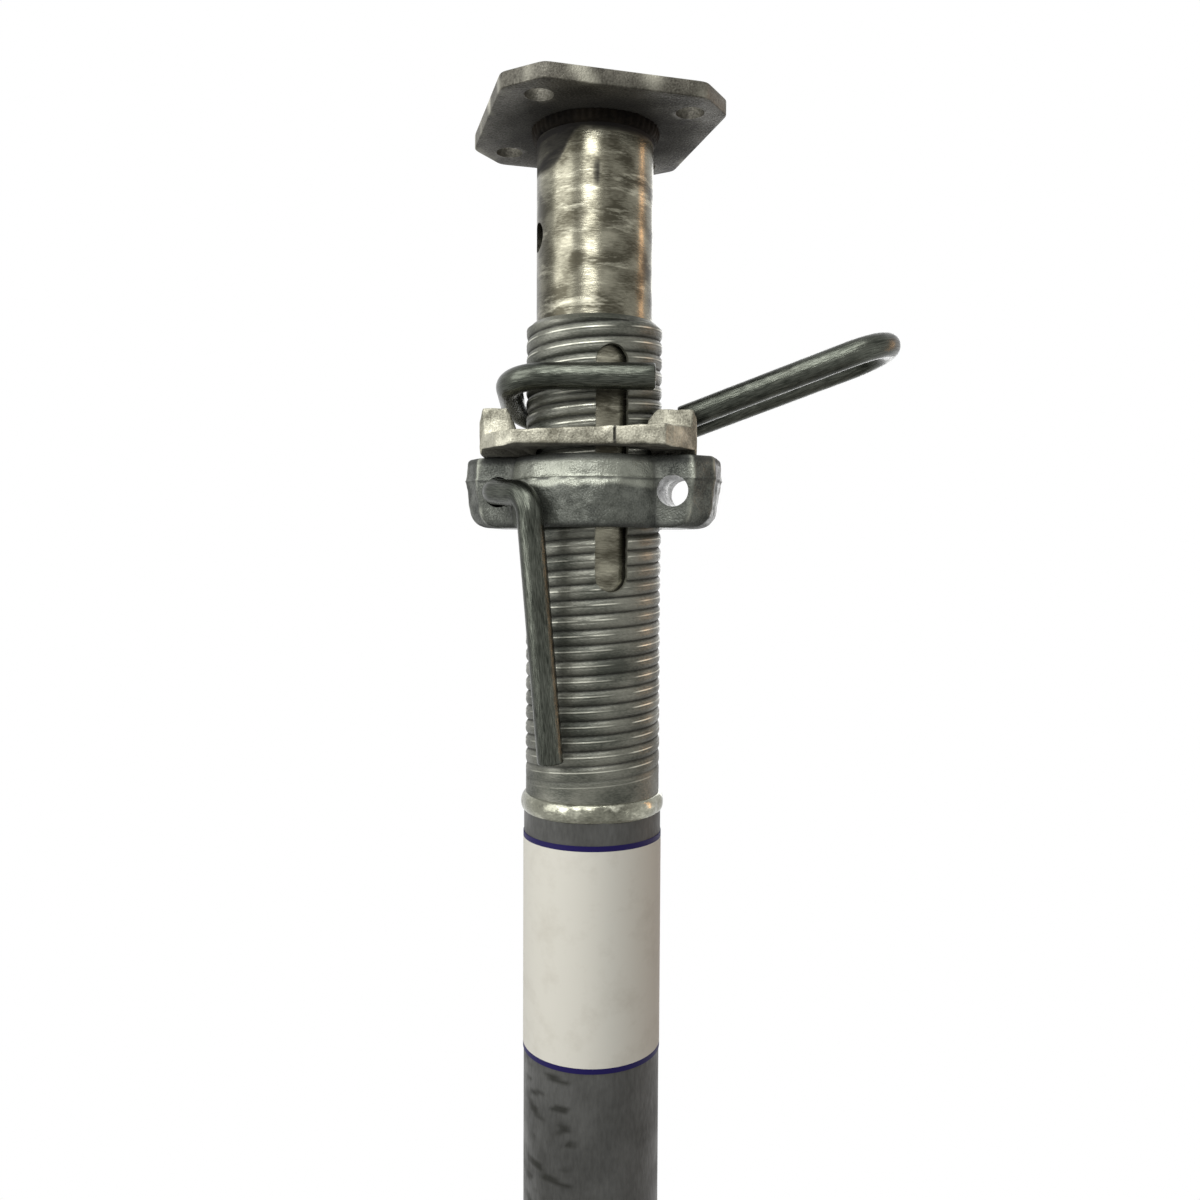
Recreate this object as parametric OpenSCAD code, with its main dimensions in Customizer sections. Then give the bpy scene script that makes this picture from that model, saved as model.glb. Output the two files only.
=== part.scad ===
// Adjustable steel prop: two telescoping tubes between square end plates.
// A threaded sleeve on the lower tube carries a cast collar nut with a swing handle.
// A cast lowering ring rides on the nut, and a bent G-hook is parked on the ring.
// Millimetres, +Z up. The origin is the centre of the foot plate's underside, and
// X and Y run along the edges of the plates.

/* [Length] */
// Height of the closed prop, from underside to top
closed_height = 1980; // [1700:10:2200]
// Clear gap between the head plate and the sleeve when closed
hand_gap = 104; // [100:1:120]
// Height of the collar nut's underside above the ground
nut_height = 1757; // [1700:1:1775]

/* [Tubes] */
// Outer diameter of the lower tube
outer_d = 76.1; // [76.1:0.1:82.5]
// Wall of the lower tube
outer_wall = 2.6; // [2.3:0.1:3.2]
// Outer diameter of the sliding tube
inner_d = 63.5; // [60.3:0.1:63.5]
// Wall of the sliding tube
inner_wall = 2.9; // [2.6:0.1:3.2]
// Diameter of the pin holes through the sliding tube
pin_hole_d = 15.5; // [15:0.5:17]
// Distance from one pin hole to the next
pin_hole_pitch = 106; // [100:1:110]
// Number of pin holes along the sliding tube
pin_hole_count = 16; // [8:1:16]
// Distance from the head plate down to the first pin hole
first_hole_drop = 58.5; // [40:0.5:80]

/* [Threaded sleeve] */
// Length of the sleeve, from its weld to its rim
sleeve_length = 262; // [250:1:270]
// Diameter over the thread crests
thread_d = 74.6; // [72:0.1:75]
// Depth of the rolled thread
thread_depth = 1.7; // [1:0.1:2]
// Spacing of the ridges; the thread has two starts, so one turn lifts the nut by two spacings
thread_pitch = 8; // [6:1:10]
// Number of ridges, counted down from the rim
thread_ridges = 30; // [20:1:30]
// Bore of the sleeve
sleeve_bore = 66; // [65:0.5:67]
// Width of the two slots for the pin
slot_width = 17.5; // [16:0.5:18]
// Length of the slots, from end to end
slot_length = 129; // [120:1:135]
// Distance from the sleeve's rim down to the slots
slot_drop = 16; // [12:1:24]

/* [End plates] */
// Side of the square plates
plate_side = 120; // [110:1:140]
// Thickness of the plates
plate_thickness = 8; // [6:0.5:10]
// Leg of the cut corners
plate_corner = 18; // [10:1:20]
// Distance between the bolt holes, both ways
bolt_spacing = 80; // [70:1:85]
// Diameter of the bolt holes
bolt_hole_d = 15; // [12:0.5:17]
// Diameter of the hole in the middle of each plate
centre_hole_d = 40; // [30:1:45]

/* [Collar] */
// Height of the collar nut
nut_depth = 38; // [34:1:40]
// Diameter of the nut's round body
nut_body_d = 91; // [88:1:94]
// Span of the nut over its two ears
nut_span = 141; // [136:1:146]
// Thickness of an ear, front to back
ear_thickness = 46; // [42:1:48]
// Distance from the axis to the hole in each ear
ear_hole_reach = 48; // [47:0.5:50]
// Diameter of the hole in each ear
ear_hole_d = 16.5; // [16:0.5:17]
// Height of the ear holes above the nut's underside
ear_hole_height = 19.3; // [17:0.1:21]
// Turn of the nut about the prop's axis
nut_turn = -29; // [-180:1:180]
// Turn of the lowering ring and the hook about the prop's axis
hook_turn = -15; // [-45:1:45]
// Diameter of the round bar in the handle and the hook
bar_d = 14; // [12:0.5:14]

/* [Hidden] */

$fn = 96;
through = 1;

// Levels along the prop
head_z = closed_height - plate_thickness;
sleeve_top = head_z - hand_gap;
sleeve_z = sleeve_top - sleeve_length;

// Radii of the tubes
outer_r = outer_d / 2;
outer_bore_r = outer_r - outer_wall;
inner_r = inner_d / 2;
inner_bore_r = inner_r - inner_wall;
crest_r = thread_d / 2;
root_r = crest_r - thread_depth;
sleeve_bore_r = sleeve_bore / 2;

// Groove near the foot of the sliding tube, and the split ring that sits in it
stop_ring_height = 12;
stop_ring_z = 69;
stop_ring_gap = 7;
stop_ring_r = outer_bore_r - 0.45;
groove_depth = 1.2;
groove_play = 0.3;

// Welds
weld_leg = 6;
joint_weld_height = 10.5;
joint_weld_rise = 1.8;

// Label wrapped round the lower tube
label_height = 122;
label_drop = 16.5;
label_thickness = 0.4;
label_wrap = 190;

// Nut
nut_bore_r = crest_r + 0.4;
ear_chamfer = 10;
ear_draft = 4;
ear_corner_r = 9;

// Lowering ring: heights above the nut's underside, and sizes in plan
ring_seat = nut_depth + 0.4;
ring_low = 41;
ring_top = 51;
ring_ramp = 2;
ring_bore_r = crest_r + 2.2;
ring_front = 48.5;
ring_end = 58;
lug_top = 62.5;
lug_inner = 46;
lug_front = 28;
lug_back = 12.5;
lug_slope = 7;
lug_offset = 12;
ring_hang = 3;
ring_bevel = 1.5;

// Play between the sliding tube's cut foot and the plate under it
end_play = 0.3;

// Bent bars: sides round the bar, largest turn between two rings, and chamfer of the cut ends
bar_sides = 24;
bend_step = 10;
bar_chamfer = 0.8;

function unit(v) = v / norm(v);

// Turn of a bar at point i of its route, in degrees
function bend_angle(route, i) =
    acos(unit(route[i] - route[i - 1]) * unit(route[i + 1] - route[i]));

// Stations round the bend at point i: each is a point on the centre line and its direction
function bend_stations(route, radius, i) =
    let (
        into = unit(route[i] - route[i - 1]),
        out_of = unit(route[i + 1] - route[i]),
        turn = bend_angle(route, i),
        inward = unit(out_of - into * (out_of * into)),
        centre = route[i] - into * radius * tan(turn / 2) + inward * radius,
        steps = ceil(turn / bend_step)
    )
    [for (k = [0 : steps])
        let (a = turn * k / steps)
        [centre + radius * (into * sin(a) - inward * cos(a)), into * cos(a) + inward * sin(a)]];

// Stations along a whole route of corner points, with one bend radius for each inner corner
function bar_stations(route, radii) =
    let (
        last = len(route) - 1,
        start = unit(route[1] - route[0]),
        end = unit(route[last] - route[last - 1])
    )
    concat(
        [[route[0], start], [route[0] + start * bar_chamfer, start]],
        [for (i = [1 : last - 1]) each bend_stations(route, radii[i - 1], i)],
        [[route[last] - end * bar_chamfer, end], [route[last], end]]
    );

// Directions square to the bar at each station, carried along without twist
function carried_sides(stations, first) =
    [for (
        i = 0, side = first;
        i < len(stations);
        i = i + 1,
        side = i < len(stations) ? unit(side - stations[i][1] * (side * stations[i][1])) : side
    ) side];

// Round bar bent along a route, with chamfered ends
module bent_bar(route, radii, d) {
    stations = bar_stations(route, radii);
    along = stations[0][1];
    sides = carried_sides(stations, unit(cross(along, abs(along[2]) < 0.9 ? [0, 0, 1] : [1, 0, 0])));
    last = len(stations) - 1;
    points = [for (i = [0 : last], k = [0 : bar_sides - 1])
        let (
            r = d / 2 - (i == 0 || i == last ? bar_chamfer : 0),
            a = 360 * k / bar_sides
        )
        stations[i][0] + r * (cos(a) * sides[i] + sin(a) * cross(stations[i][1], sides[i]))];
    walls = [for (i = [0 : last - 1], k = [0 : bar_sides - 1])
        let (
            here = i * bar_sides + k,
            next = i * bar_sides + (k + 1) % bar_sides
        )
        each [[here, next + bar_sides, next], [here, here + bar_sides, next + bar_sides]]];
    ends = [
        [for (k = [0 : bar_sides - 1]) k],
        [for (k = [0 : bar_sides - 1]) last * bar_sides + bar_sides - 1 - k]
    ];
    polyhedron(points = points, faces = concat(walls, ends));
}

// Square plate with cut corners, four bolt holes and a middle hole
module end_plate() {
    half = plate_side / 2;
    cut = half - plate_corner;
    difference() {
        linear_extrude(plate_thickness) polygon([
            [-half, -cut], [-cut, -half], [cut, -half], [half, -cut],
            [half, cut], [cut, half], [-cut, half], [-half, cut]
        ]);
        for (x = [-1, 1], y = [-1, 1])
            translate([x * bolt_spacing / 2, y * bolt_spacing / 2, -through])
                cylinder(h = plate_thickness + 2 * through, d = bolt_hole_d);
        translate([0, 0, -through]) cylinder(h = plate_thickness + 2 * through, d = centre_hole_d);
    }
}

// Fillet weld round a tube that stands on a plate
module fillet_weld(tube_r) {
    rotate_extrude() polygon([
        [tube_r, 0], [tube_r + weld_leg, 0], [tube_r + weld_leg * 0.42, weld_leg * 0.42], [tube_r, weld_leg]
    ]);
}

module foot_plate() {
    color("slategray") end_plate();
}

module foot_weld() {
    color("gray") translate([0, 0, plate_thickness]) fillet_weld(outer_r);
}

module outer_tube() {
    color("slategray") translate([0, 0, plate_thickness]) difference() {
        cylinder(h = sleeve_z - plate_thickness, r = outer_r);
        translate([0, 0, -through])
            cylinder(h = sleeve_z - plate_thickness + 2 * through, r = outer_bore_r);
    }
}

// Bead that joins the sleeve to the lower tube
module joint_weld() {
    half = joint_weld_height / 2;
    inset = 0.2;
    color("gray") translate([0, 0, sleeve_z]) rotate_extrude() polygon([
        [outer_r, -half], [outer_r + joint_weld_rise * 0.8, -half * 0.6], [outer_r + joint_weld_rise, 0],
        [outer_r + joint_weld_rise * 0.8, half * 0.6], [crest_r + inset, half], [crest_r - inset, half],
        [crest_r - inset, 0], [outer_r, 0]
    ]);
}

// One ridge of the thread in the sleeve's outline, from its lower root to its upper
function ridge(z) = [
    [root_r, z + thread_pitch * 0.08], [crest_r - 0.35, z + thread_pitch * 0.28],
    [crest_r, z + thread_pitch * 0.42], [crest_r, z + thread_pitch * 0.58],
    [crest_r - 0.35, z + thread_pitch * 0.72], [root_r, z + thread_pitch * 0.92]
];

// Slot through both walls, across Y, with round ends
module pin_slot() {
    low = sleeve_top - slot_drop - slot_length + slot_width / 2;
    high = sleeve_top - slot_drop - slot_width / 2;
    translate([-slot_width / 2, -outer_r - through, low])
        cube([slot_width, 2 * (outer_r + through), high - low]);
    for (z = [low, high])
        translate([0, 0, z]) rotate([90, 0, 0])
            cylinder(h = 2 * (outer_r + through), d = slot_width, center = true);
}

// Sleeve with the rolled thread, drawn as level ridges, and its rim turned in at the top
module threaded_sleeve() {
    thread_z = sleeve_top - 5 - thread_ridges * thread_pitch;
    rim_lip = 0.8;
    color("darkgray") difference() {
        rotate_extrude() polygon(concat(
            [[sleeve_bore_r, sleeve_z], [crest_r - 0.2, sleeve_z], [crest_r - 0.2, thread_z - 2]],
            [for (i = [0 : thread_ridges - 1]) each ridge(thread_z + i * thread_pitch)],
            [
                [root_r + 0.6, sleeve_top - 4], [root_r - 0.4, sleeve_top - 1],
                [sleeve_bore_r + 0.6, sleeve_top], [sleeve_bore_r - rim_lip, sleeve_top - 1],
                [sleeve_bore_r - rim_lip, sleeve_top - 4], [sleeve_bore_r, sleeve_top - 7]
            ]
        ));
        pin_slot();
    }
}

// Blank label wrapped round the front of the lower tube
module tube_label() {
    top = sleeve_z - label_drop;
    color("white") rotate([0, 0, -90 + hook_turn - label_wrap / 2])
        translate([0, 0, top - label_height]) rotate_extrude(angle = label_wrap)
            translate([outer_r, 0]) square([label_thickness, label_height]);
}

// Split ring that keeps the sliding tube from being pulled out
module stop_ring() {
    color("dimgray") translate([0, 0, stop_ring_z]) difference() {
        cylinder(h = stop_ring_height, r = stop_ring_r);
        translate([0, 0, -through])
            cylinder(h = stop_ring_height + 2 * through, r = inner_r - groove_depth + groove_play);
        translate([0, -stop_ring_gap / 2, -through])
            cube([outer_r, stop_ring_gap, stop_ring_height + 2 * through]);
    }
}

// Sliding tube with its rolled groove and its row of pin holes
module inner_tube() {
    foot = plate_thickness + end_play;
    low = stop_ring_z - groove_play;
    high = stop_ring_z + stop_ring_height + groove_play;
    color("silver") difference() {
        rotate_extrude() polygon([
            [inner_bore_r, foot], [inner_r, foot], [inner_r, low], [inner_r - groove_depth, low],
            [inner_r - groove_depth, high], [inner_r, high], [inner_r, head_z], [inner_bore_r, head_z],
            [inner_bore_r, high + groove_depth], [inner_bore_r - groove_depth, high],
            [inner_bore_r - groove_depth, low], [inner_bore_r, low - groove_depth]
        ]);
        for (i = [0 : pin_hole_count - 1])
            translate([0, 0, head_z - first_hole_drop - i * pin_hole_pitch]) rotate([0, 90, 0])
                cylinder(h = 2 * (inner_r + through), d = pin_hole_d, center = true);
    }
}

module head_plate() {
    color("silver") translate([0, 0, head_z]) end_plate();
}

module head_weld() {
    color("gray") translate([0, 0, head_z]) mirror([0, 0, 1]) fillet_weld(inner_r);
}

// Outline of the ring in plan: flat front and back, blunt ends, hung a little to the left
module ring_plan() {
    corner = 9;
    end_half = 24;
    translate([-ring_hang, 0]) polygon([
        [-ring_end, -end_half], [-ring_front, -ring_front + corner], [-ring_front + corner, -ring_front],
        [ring_front - corner, -ring_front], [ring_front, -ring_front + corner], [ring_end, -end_half],
        [ring_end, end_half], [ring_front, ring_front - corner], [ring_front - corner, ring_front],
        [-ring_front + corner, ring_front], [-ring_front, ring_front - corner], [-ring_end, end_half]
    ]);
}

// Half of the ring with its top face as a ramp that rises to the right, bevelled under its front edge
module ring_ramp_half() {
    reach = ring_end + ring_hang + through;
    difference() {
        rotate([90, 0, 0]) linear_extrude(ring_front + through) polygon([
            [-reach, ring_low], [reach, ring_low],
            [reach, ring_top + ring_ramp], [lug_inner, ring_top + ring_ramp],
            [-lug_inner, ring_top - ring_ramp], [-reach, ring_top - ring_ramp]
        ]);
        translate([0, -ring_front, ring_low]) rotate([45, 0, 0])
            cube([2 * reach, ring_bevel * sqrt(2), ring_bevel * sqrt(2)], center = true);
    }
}

// Hammer lug above one end of the ring; the ring lies lower inside it
module ring_lug(inner, outer, slope) {
    rotate([90, 0, 0]) translate([0, 0, lug_back]) linear_extrude(lug_front - lug_back) polygon([
        [inner - slope, ring_low], [outer - 0.5, ring_low], [outer - 3, lug_top],
        [inner, lug_top], [inner - slope, ring_top + ring_ramp]
    ]);
}

// Feet under both ends of the ring, which bear on the nut
module ring_feet() {
    foot_inner = 30;
    foot_half = 26;
    intersection() {
        translate([0, 0, ring_seat]) linear_extrude(ring_top - ring_seat) ring_plan();
        for (side = [0, 1]) mirror([side, 0, 0]) translate([foot_inner, -foot_half, ring_seat])
            cube([ring_end, 2 * foot_half, ring_low + through - ring_seat]);
    }
}

// Cast ring: two ramps for the pin, two hammer lugs, two feet
module lowering_ring() {
    color("lightgray") translate([0, 0, nut_height]) rotate([0, 0, hook_turn]) difference() {
        union() {
            intersection() {
                translate([0, 0, ring_low]) linear_extrude(ring_top) ring_plan();
                union() {
                    ring_ramp_half();
                    rotate([0, 0, 180]) ring_ramp_half();
                }
            }
            mirror([1, 0, 0]) ring_lug(lug_inner, ring_end + ring_hang, lug_slope);
            ring_lug(lug_inner - lug_offset, ring_end - ring_hang, 2 * lug_slope);
            ring_feet();
        }
        cylinder(h = nut_depth + lug_top, r = ring_bore_r);
    }
}

// Nut blank: a drafted round body between two ears with cut ends
module nut_blank() {
    body_r = nut_body_d / 2;
    half = nut_span / 2;
    edge = 2.5;
    parting = 26;
    rotate_extrude() polygon([
        [0, 0], [body_r - edge - 1, 0], [body_r - 1, edge], [body_r, parting],
        [body_r - 1, nut_depth - edge], [body_r - edge - 1, nut_depth], [0, nut_depth]
    ]);
    intersection() {
        linear_extrude(nut_depth) polygon([
            [-half, -ear_thickness / 2 + ear_chamfer], [-half + ear_chamfer, -ear_thickness / 2],
            [half - ear_chamfer, -ear_thickness / 2], [half, -ear_thickness / 2 + ear_chamfer],
            [half, ear_thickness / 2 - ear_chamfer], [half - ear_chamfer, ear_thickness / 2],
            [-half + ear_chamfer, ear_thickness / 2], [-half, ear_thickness / 2 - ear_chamfer]
        ]);
        rotate([90, 0, 0]) linear_extrude(ear_thickness, center = true) polygon(concat(
            [[half, parting], [half - 1, nut_depth], [1 - half, nut_depth], [-half, parting]],
            [for (a = [180 : 15 : 270])
                [-half + ear_draft + ear_corner_r * (1 + cos(a)), ear_corner_r * (1 + sin(a))]],
            [for (a = [270 : 15 : 360])
                [half - ear_draft - ear_corner_r * (1 - cos(a)), ear_corner_r * (1 + sin(a))]]
        ));
    }
}

// Cast collar nut: two ears with cross holes, and a bore that clears the thread crests
module collar_nut() {
    color("lightslategray") translate([0, 0, nut_height]) rotate([0, 0, nut_turn]) difference() {
        nut_blank();
        translate([0, 0, -through]) cylinder(h = nut_depth + 2 * through, r = nut_bore_r);
        for (side = [-1, 1])
            translate([side * ear_hole_reach, 0, ear_hole_height]) rotate([90, 0, 0])
                cylinder(h = nut_body_d, d = ear_hole_d, center = true);
    }
}

// Handle: a bar through the left ear, bent sideways and down in front of the thread
module nut_handle() {
    head_d = 18.5;
    head_height = 4;
    back = ear_thickness / 2 + 1.5;
    eye = [-ear_hole_reach, 0, ear_hole_height];
    route = [
        eye + [0, back + head_height, 0], eye + [0, -back - 7, 0],
        [-22, -51, 16.5], [-11, -46, -123]
    ];
    color("dimgray") translate([0, 0, nut_height]) rotate([0, 0, nut_turn]) {
        bent_bar(route, [12, 12], bar_d);
        translate(eye + [0, back + head_height, 0]) rotate([90, 0, 0])
            cylinder(h = head_height, d1 = head_d - 4, d2 = head_d);
    }
}

// G-hook: front leg, bend round the tube, back leg, hairpin grip and pin leg
module g_hook() {
    route = [
        [31, -45, 76.5], [-45.5, -45, 76.5], [-45.5, 46.5, 62], [50, 46.5, 58.8],
        [163, 18.5, 99.5], [157.5, -28, 100.5], [48, -2, 60.5]
    ];
    color("slategray") translate([0, 0, nut_height]) rotate([0, 0, hook_turn])
        bent_bar(route, [22, 44, 30, 22.5, 22.5], bar_d);
}

foot_plate();
foot_weld();
outer_tube();
joint_weld();
threaded_sleeve();
tube_label();
stop_ring();
inner_tube();
head_plate();
head_weld();
lowering_ring();
collar_nut();
nut_handle();
g_hook();
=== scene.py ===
# %% [markdown]
# # An adjustable steel prop, dressed in zinc
# The imported construction comes in as a fixed frame. This lesson gives every piece its finished surface:
# rolled thread, cast nut and ring, bent bars, weld beads and stained zinc with painted highlights and painted
# shade. The frame decides where each piece is and what it moves with. The camera, the lamps and the shades were
# set by comparing renders.

# %% Load the frame
import math
import bpy
import numpy as np
from mathutils import Matrix, Vector


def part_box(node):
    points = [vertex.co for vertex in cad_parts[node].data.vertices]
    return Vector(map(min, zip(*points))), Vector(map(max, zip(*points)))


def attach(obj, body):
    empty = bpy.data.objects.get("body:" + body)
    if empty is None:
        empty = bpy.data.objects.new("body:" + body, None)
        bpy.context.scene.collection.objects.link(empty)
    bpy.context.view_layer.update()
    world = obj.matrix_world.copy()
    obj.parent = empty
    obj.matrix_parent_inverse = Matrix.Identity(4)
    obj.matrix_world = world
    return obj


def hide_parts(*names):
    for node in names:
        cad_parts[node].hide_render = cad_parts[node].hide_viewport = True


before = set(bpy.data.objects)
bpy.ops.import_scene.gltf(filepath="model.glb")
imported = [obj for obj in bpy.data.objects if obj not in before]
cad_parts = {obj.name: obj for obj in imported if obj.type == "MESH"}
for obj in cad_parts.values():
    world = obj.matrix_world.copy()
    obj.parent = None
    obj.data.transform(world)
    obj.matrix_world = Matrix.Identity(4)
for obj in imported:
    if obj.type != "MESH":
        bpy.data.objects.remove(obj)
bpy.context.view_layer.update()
print("nodes:", ", ".join(sorted(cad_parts)))

# %% [markdown]
# ## Driving sizes
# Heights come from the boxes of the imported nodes. Shared sizes that a box can't tell are named here in
# metres, and a piece's own sizes stand with the piece. MM turns millimetres into metres.

# %% Sizes that the pieces share
MM = 0.001


def span(node):
    """Lowest and highest level of a node, in metres."""
    low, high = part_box(node)
    return low[2], high[2]


def half_width(node):
    """Half of a node's width along X, which is the radius of a round node."""
    low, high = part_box(node)
    return (high[0] - low[0]) / 2


sleeve_low, sleeve_top = span("threaded_sleeve")
nut_low = span("collar_nut")[0]
plate_low, plate_top = span("head_plate")
foot_low, foot_top = span("foot_plate")
outer_radius = half_width("outer_tube")
inner_radius = half_width("inner_tube")
crest_radius = half_width("threaded_sleeve")
plate_half = half_width("head_plate")
nut_turn = math.radians(-29)
hook_turn = math.radians(-15)
ridge_spacing = 8 * MM
thread_starts = 2
thread_depth = 1.7 * MM
print("sleeve from", round(sleeve_low, 4), "to", round(sleeve_top, 4), "m; nut at", round(nut_low, 4), "m")

# %% [markdown]
# ## The camera
# The camera stands a little over half a metre in front of the prop, turned to the left of the plates'
# front edge, at the height of the thread. It looks slightly down. Making it first lets every later
# step be judged in the same view.

# %% Camera
view_turn = math.radians(-15.35)
eye_distance = 0.5907
eye_side = 0.0026
eye_height = 1.7428
look_down = math.radians(2.45)
look_left = math.radians(-0.115)
lean = math.radians(-0.29)


def turned(angle):
    """Rotation about the prop's axis."""
    return Matrix.Rotation(angle, 3, "Z")


camera_data = bpy.data.cameras.new("camera")
camera_data.sensor_width = 36
camera_data.lens = 31.92
camera_data.clip_start = 0.01
camera = bpy.data.objects.new("camera", camera_data)
bpy.context.collection.objects.link(camera)
bpy.context.scene.camera = camera
aim = turned(view_turn) @ Matrix.Rotation(look_left, 3, "Z") @ Matrix.Rotation(-look_down, 3, "X")
aim = aim @ Matrix.Rotation(lean, 3, "Y") @ Matrix.Rotation(math.pi / 2, 3, "X")
stand = turned(view_turn) @ Vector((eye_side, -eye_distance, 0))
camera.matrix_world = Matrix.Translation((stand.x, stand.y, eye_height)) @ aim.to_4x4()
print("camera at", [round(c, 3) for c in camera.matrix_world.translation])

# %% [markdown]
# ## Studio
# The background is white for the camera and for reflections, while the light that the world casts on
# the prop stays at a plain level. A tall soft lamp at the left front gives the round pieces their
# bright side. One in front and one above put the highlights on the sliding tube and the bars. A narrow
# one and a warm one at the right edge the dark side, and one behind keeps the back readable.

# %% World and lamps
scene = bpy.context.scene
scene.view_settings.view_transform = "Standard"
WORLD_LEVEL = 0.18


def link(tree, node, socket, value):
    """Sets an input of a node: a value is written on it, and another node's output is linked to it."""
    entry = node.inputs[socket]
    if isinstance(value, bpy.types.NodeSocket):
        tree.links.new(value, entry)
    elif entry.type == "RGBA" and len(value) == 3:
        entry.default_value = (*value, 1)
    else:
        entry.default_value = value


def add(tree, kind, inputs=None, **settings):
    """A new node of that kind with its settings and inputs."""
    node = tree.nodes.new(kind)
    for name, value in settings.items():
        setattr(node, name, value)
    for socket, value in (inputs or {}).items():
        link(tree, node, socket, value)
    return node


def math_node(tree, operation, first, second=0.0, clamp=False):
    """The result of a sum, product or the like of two values."""
    return add(tree, "ShaderNodeMath", {0: first, 1: second}, operation=operation, use_clamp=clamp).outputs[0]


def ramp(tree, value, low=0.0, high=1.0, start=0.0, end=1.0):
    """A value carried from the range low to high into the range start to end, and held at its ends."""
    return add(tree, "ShaderNodeMapRange", {
        "Value": value, "From Min": low, "From Max": high, "To Min": start, "To Max": end
    }).outputs[0]


def blend(tree, share, first, second):
    """The first colour where the share is 0, and the second where it is 1."""
    return add(tree, "ShaderNodeMix", {0: share, 6: first, 7: second}, data_type="RGBA").outputs[2]


world = bpy.data.worlds.new("studio")
scene.world = world
world.use_nodes = True
sky = world.node_tree
sky.nodes.clear()
path = add(sky, "ShaderNodeLightPath")
seen = math_node(sky, "MAXIMUM", path.outputs["Is Camera Ray"], path.outputs["Is Glossy Ray"])
seen = math_node(sky, "MAXIMUM", seen, path.outputs["Is Transmission Ray"])
level = ramp(sky, seen, start=WORLD_LEVEL)
backdrop = add(sky, "ShaderNodeBackground", {"Color": (1, 1, 1), "Strength": level})
add(sky, "ShaderNodeOutputWorld", {"Surface": backdrop.outputs[0]})


def soft_lamp(name, bearing, distance, height, width, tall, power, tint=(1, 1, 1)):
    """An upright soft lamp that faces the prop's axis. Bearing is measured from the camera's side."""
    data = bpy.data.lights.new(name, "AREA")
    data.shape = "RECTANGLE"
    data.size = width
    data.size_y = tall
    data.energy = power
    data.color = tint
    lamp = bpy.data.objects.new(name, data)
    bpy.context.collection.objects.link(lamp)
    angle = view_turn + math.radians(bearing)
    place = Vector((math.sin(angle) * distance, -math.cos(angle) * distance, height))
    lamp.location = place
    lamp.rotation_euler = (Vector((0, 0, 1.75)) - place).to_track_quat("-Z", "Y").to_euler()
    return lamp


soft_lamp("key_lamp", -64, 1.5, 2.25, 1.1, 1.9, 24)
soft_lamp("front_lamp", -9, 1.6, 2.7, 0.8, 0.8, 17)
soft_lamp("top_lamp", -10, 0.9, 3.3, 1.2, 0.8, 20)
soft_lamp("side_strip", 62, 1.8, 1.6, 0.08, 1.0, 1)
soft_lamp("fill_lamp", 104, 2.2, 2.0, 0.36, 1.6, 6.5, (1, 0.52, 0.22))
soft_lamp("back_lamp", 168, 2.2, 2.2, 1.2, 1.8, 12)

# %% [markdown]
# ## Surfaces from arrays
# Every shape here is a grid of points: rows one way, columns the other. A closed solid is a grid that
# meets itself, like the skin of a ring, or a tube of rings with a cap at both ends. One helper turns
# any such grid into a mesh, so each piece only has to say where its points are.

# %% Helpers that turn grids into pieces
import bmesh


def surface(name, points, wrap_rows=False, wrap_columns=False, caps=None, lay=None, marks=None):
    """Object with a face between each four neighbouring points of a grid of rows by columns.

    A wrapped direction joins its last line to its first. Caps close the first and last row or column.
    Lay is a straightened copy of the points, and marks are named shares from 0 to 1 at each point, such as
    painted highlights and real dirt with painted shade. Both are kept as attributes for the material.
    """
    rows, columns = points.shape[:2]
    r, c = np.meshgrid(
        np.arange(rows if wrap_rows else rows - 1), np.arange(columns if wrap_columns else columns - 1),
        indexing="ij",
    )
    r_next, c_next = (r + 1) % rows, (c + 1) % columns
    corners = (r * columns + c, r * columns + c_next, r_next * columns + c_next, r_next * columns + c)
    faces = np.stack(corners, axis=-1).reshape(-1, 4).tolist()
    index = np.arange(rows * columns).reshape(rows, columns)
    if caps == "rows":
        faces += [index[0].tolist(), index[-1].tolist()]
    if caps == "columns":
        faces += [index[:, 0].tolist(), index[:, -1].tolist()]
    mesh = bpy.data.meshes.new(name)
    mesh.from_pydata(points.reshape(-1, 3).tolist(), [], faces)
    if lay is not None:
        attribute = mesh.attributes.new("lay", "FLOAT_VECTOR", "POINT")
        attribute.data.foreach_set("vector", lay.reshape(-1).astype(np.float32))
    for mark, share in (marks or {}).items():
        attribute = mesh.attributes.new(mark, "FLOAT", "POINT")
        attribute.data.foreach_set("value", np.clip(share, 0, 1).reshape(-1).astype(np.float32))
    shell = bmesh.new()
    shell.from_mesh(mesh)
    bmesh.ops.recalc_face_normals(shell, faces=shell.faces)
    shell.to_mesh(mesh)
    shell.free()
    piece = bpy.data.objects.new(name, mesh)
    bpy.context.collection.objects.link(piece)
    return piece


def smooth(piece, angle=32):
    """Smooth shading that still breaks at edges sharper than the angle."""
    piece.data.shade_smooth()
    piece.data.set_sharp_from_angle(angle=math.radians(angle))
    return piece


def cut(piece, *cutters):
    """Takes the cutters out of the piece for good, and removes them."""
    for cutter in cutters:
        modifier = piece.modifiers.new("cut", "BOOLEAN")
        modifier.object = cutter
        modifier.solver = "EXACT"
        cutter.hide_render = True
    graph = bpy.context.evaluated_depsgraph_get()
    result = bpy.data.meshes.new_from_object(
        piece.evaluated_get(graph), preserve_all_data_layers=True, depsgraph=graph
    )
    piece.modifiers.clear()
    piece.data = result
    for cutter in cutters:
        bpy.data.objects.remove(cutter)
    return piece


def polar(radius, angle, height):
    """Points at a radius, a bearing and a height. The three may be arrays that spread to one shape."""
    return np.stack(np.broadcast_arrays(radius * np.cos(angle), radius * np.sin(angle), height), axis=-1)


def around(profile, bearings):
    """Points of an outline of (radius, height) pairs carried round the prop's axis."""
    outline = np.asarray(profile, float)
    return polar(outline[:, :1], bearings, outline[:, 1:])


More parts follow.
